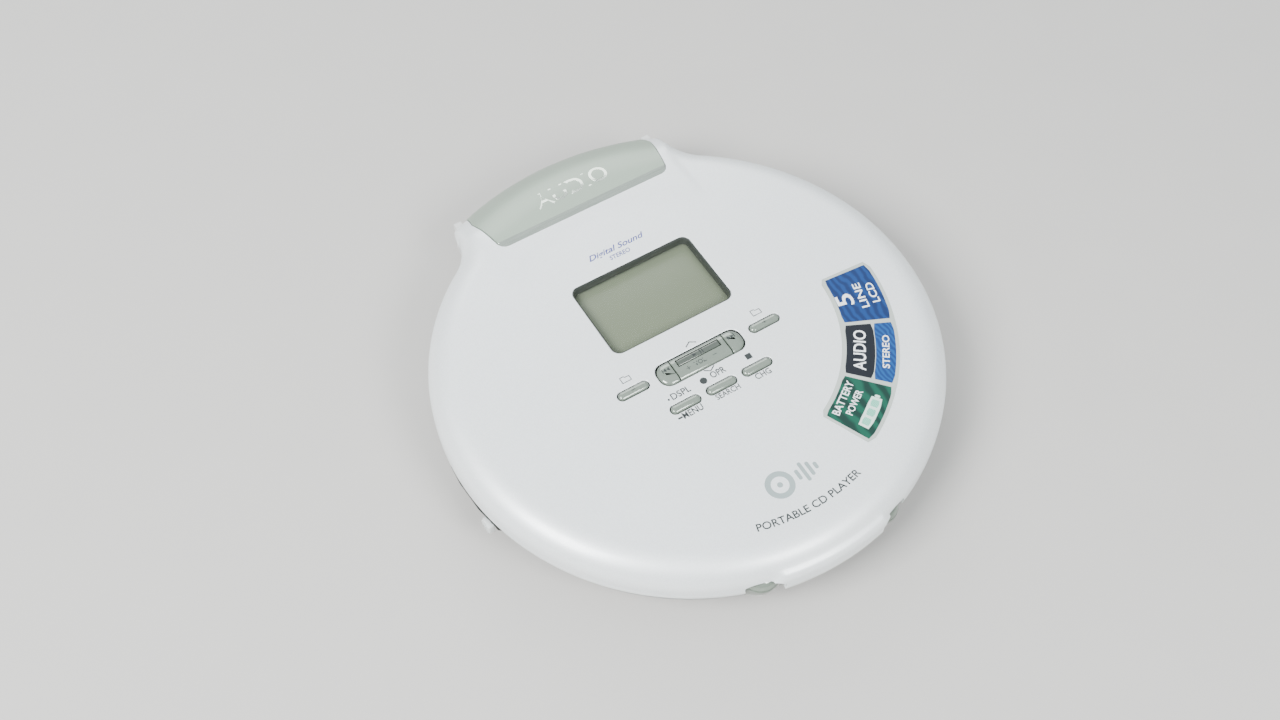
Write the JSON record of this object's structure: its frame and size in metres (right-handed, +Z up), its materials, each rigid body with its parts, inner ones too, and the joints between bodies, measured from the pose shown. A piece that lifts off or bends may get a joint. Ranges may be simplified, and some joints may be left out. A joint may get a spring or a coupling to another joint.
{
  "type": "portable cd player",
  "caption": "Round pocket disc player with a rear-hinged lid that carries a display and keys, a disc drive below it and one battery in the rear hump.",
  "frame": {"origin": "centre of the outside box, on the surface the feet stand on", "axes": "+Z up; +Y towards the hinge and rear hump; +X to the right as seen from the front, where the lid opens"},
  "size_m": [0.138, 0.1488, 0.0256],
  "materials": {
    "lid_paint": "silver metallic lacquer with fine flake",
    "plate_satin": "satin grey-green with a bright bevelled edge",
    "key_translucent": "glossy smoked grey-green",
    "key_dark": "dark gloss",
    "lcd": "pale green liquid crystal",
    "clear_window": "clear and polished",
    "inner_white": "fine matt moulding",
    "trim_pale": "pale gloss",
    "case_grey": "grey fine texture",
    "socket_dark": "black moulding",
    "steel": "plain bright steel",
    "battery_jacket": "plain lacquered jacket",
    "contact_metal": "plated brass",
    "circuit_board": "green solder mask",
    "rubber": "soft matt rubber",
    "label_film": "glossy printed film"
  },
  "bodies": {
    "base": {"disc_deck": "inner_white", "base_trim_1": "trim_pale", "base_trim_2": "trim_pale", "base_trim_3": "trim_pale", "lower_case": "case_grey", "socket_panel": "socket_dark", "headphone_socket": "socket_dark", "power_socket": "socket_dark", "mech_chassis": "steel", "guide_shaft_front": "steel", "guide_shaft_rear": "steel", "sled_motor": "steel", "spindle_motor": "steel", "case_screw_1": "steel", "case_screw_2": "steel", "case_screw_3": "steel", "hinge_pin_left": "steel", "hinge_pin_right": "steel", "battery_cell": "battery_jacket", "battery_contact_plus": "contact_metal", "battery_contact_spring": "contact_metal", "main_board": "circuit_board", "foot_1": "rubber", "foot_2": "rubber", "foot_3": "rubber", "damper_front_left": "rubber", "damper_rear_left": "rubber", "damper_right": "rubber"},
    "lid": {"lid_shell": "lid_paint", "rear_plate": "plate_satin", "lid_inner_cover": "inner_white", "display_bezel": "key_dark", "display_window": "clear_window", "lcd_panel": "lcd", "control_board": "circuit_board", "lid_label": "label_film", "lid_catch_left": "case_grey", "lid_catch_right": "case_grey"},
    "volume_rocker": {"volume_rocker": "key_translucent"},
    "play_key": {"play_key": "key_dark"},
    "skip_back_key": {"skip_back_key": "key_translucent"},
    "skip_forward_key": {"skip_forward_key": "key_translucent"},
    "folder_back_key": {"folder_back_key": "key_translucent"},
    "folder_next_key": {"folder_next_key": "key_translucent"},
    "display_key": {"display_key": "key_translucent"},
    "search_key": {"search_key": "key_translucent"},
    "stop_key": {"stop_key": "key_translucent"},
    "open_button_left": {"open_button_left": "key_translucent"},
    "open_button_right": {"open_button_right": "key_translucent"},
    "hold_knob": {"hold_knob": "case_grey"},
    "battery_door": {"battery_door": "case_grey"},
    "turntable": {"turntable": "socket_dark"},
    "chuck_claw_1": {"chuck_claw_1": "inner_white"},
    "chuck_claw_2": {"chuck_claw_2": "inner_white"},
    "chuck_claw_3": {"chuck_claw_3": "inner_white"},
    "pickup_sled": {"pickup_sled": "socket_dark"},
    "lens": {"lens_holder": "case_grey", "objective_lens": "clear_window"},
    "reduction_gear": {"reduction_gear": "inner_white"},
    "motor_pinion": {"motor_pinion": "contact_metal"}
  },
  "joints": [
    {"name": "lid_hinge", "type": "hinge", "parent": "base", "child": "lid", "pos_m": [0, 0.06549, 0.008], "axis": [-1, 0, 0], "range_deg": [0, 64]},
    {"name": "volume_rock", "type": "hinge", "parent": "lid", "child": "volume_rocker", "pos_m": [0, -0.01051, 0.023], "axis": [1, 0, 0], "range_deg": [-3.5, 3.5], "stiffness_Nm_per_rad": 0.0004},
    {"name": "play_key_press", "type": "slide", "parent": "volume_rocker", "child": "play_key", "axis": [0, 0, -1], "range_m": [0, 0.0003], "stiffness_N_per_m": 20, "springref_m": -0.0004},
    {"name": "skip_back_key_press", "type": "slide", "parent": "lid", "child": "skip_back_key", "axis": [0, 0, -1], "range_m": [0, 0.0004], "stiffness_N_per_m": 20, "springref_m": -0.0004},
    {"name": "skip_forward_key_press", "type": "slide", "parent": "lid", "child": "skip_forward_key", "axis": [0, 0, -1], "range_m": [0, 0.0004], "stiffness_N_per_m": 20, "springref_m": -0.0004},
    {"name": "folder_back_key_press", "type": "slide", "parent": "lid", "child": "folder_back_key", "axis": [0, 0, -1], "range_m": [0, 0.0005], "stiffness_N_per_m": 20, "springref_m": -0.0004},
    {"name": "folder_next_key_press", "type": "slide", "parent": "lid", "child": "folder_next_key", "axis": [0, 0, -1], "range_m": [0, 0.0005], "stiffness_N_per_m": 20, "springref_m": -0.0004},
    {"name": "display_key_press", "type": "slide", "parent": "lid", "child": "display_key", "axis": [0, 0, -1], "range_m": [0, 0.0005], "stiffness_N_per_m": 20, "springref_m": -0.0004},
    {"name": "search_key_press", "type": "slide", "parent": "lid", "child": "search_key", "axis": [0, 0, -1], "range_m": [0, 0.0005], "stiffness_N_per_m": 20, "springref_m": -0.0004},
    {"name": "stop_key_press", "type": "slide", "parent": "lid", "child": "stop_key", "axis": [0, 0, -1], "range_m": [0, 0.0005], "stiffness_N_per_m": 20, "springref_m": -0.0004},
    {"name": "open_button_left_press", "type": "slide", "parent": "base", "child": "open_button_left", "axis": [0.279, 0.9603, 0], "range_m": [0, 0.0012], "stiffness_N_per_m": 50, "springref_m": -0.0006},
    {"name": "open_button_right_press", "type": "slide", "parent": "base", "child": "open_button_right", "axis": [-0.279, 0.9603, 0], "range_m": [0, 0.0012], "stiffness_N_per_m": 50, "springref_m": -0.0006},
    {"name": "hold_slide", "type": "slide", "parent": "base", "child": "hold_knob", "axis": [0, 1, 0], "range_m": [0, 0.003]},
    {"name": "battery_door_slide", "type": "slide", "parent": "base", "child": "battery_door", "axis": [0, 1, 0], "range_m": [0, 0.012]},
    {"name": "turntable_spin", "type": "hinge", "parent": "base", "child": "turntable", "pos_m": [0, -0.00401, 0.013], "axis": [0, 0, 1], "continuous": true},
    {"name": "chuck_claw_1_press", "type": "slide", "parent": "turntable", "child": "chuck_claw_1", "axis": [0, -1, 0], "range_m": [0, 0.0005], "stiffness_N_per_m": 5, "springref_m": -0.0003},
    {"name": "chuck_claw_2_press", "type": "slide", "parent": "turntable", "child": "chuck_claw_2", "axis": [0.866, 0.5, 0], "range_m": [0, 0.0005], "stiffness_N_per_m": 5, "springref_m": -0.0003},
    {"name": "chuck_claw_3_press", "type": "slide", "parent": "turntable", "child": "chuck_claw_3", "axis": [-0.866, 0.5, 0], "range_m": [0, 0.0005], "stiffness_N_per_m": 5, "springref_m": -0.0003},
    {"name": "sled_slide", "type": "slide", "parent": "base", "child": "pickup_sled", "axis": [1, 0, 0], "range_m": [0, 0.034]},
    {"name": "lens_focus", "type": "slide", "parent": "pickup_sled", "child": "lens", "axis": [0, 0, 1], "range_m": [-0.0003, 0.0003], "stiffness_N_per_m": 5},
    {"name": "reduction_gear_spin", "type": "hinge", "parent": "base", "child": "reduction_gear", "pos_m": [0.023, -0.02301, 0.007], "axis": [0, 0, 1], "range_deg": [-500, 10]},
    {"name": "motor_pinion_spin", "type": "hinge", "parent": "base", "child": "motor_pinion", "pos_m": [0.031, -0.02901, 0.007], "axis": [0, 0, 1], "range_deg": [-20, 1980]}
  ],
  "couplings": [
    {"joint": "reduction_gear_spin", "follows": "sled_slide", "rad_per_m": -250},
    {"joint": "motor_pinion_spin", "follows": "sled_slide", "rad_per_m": 1000}
  ]
}
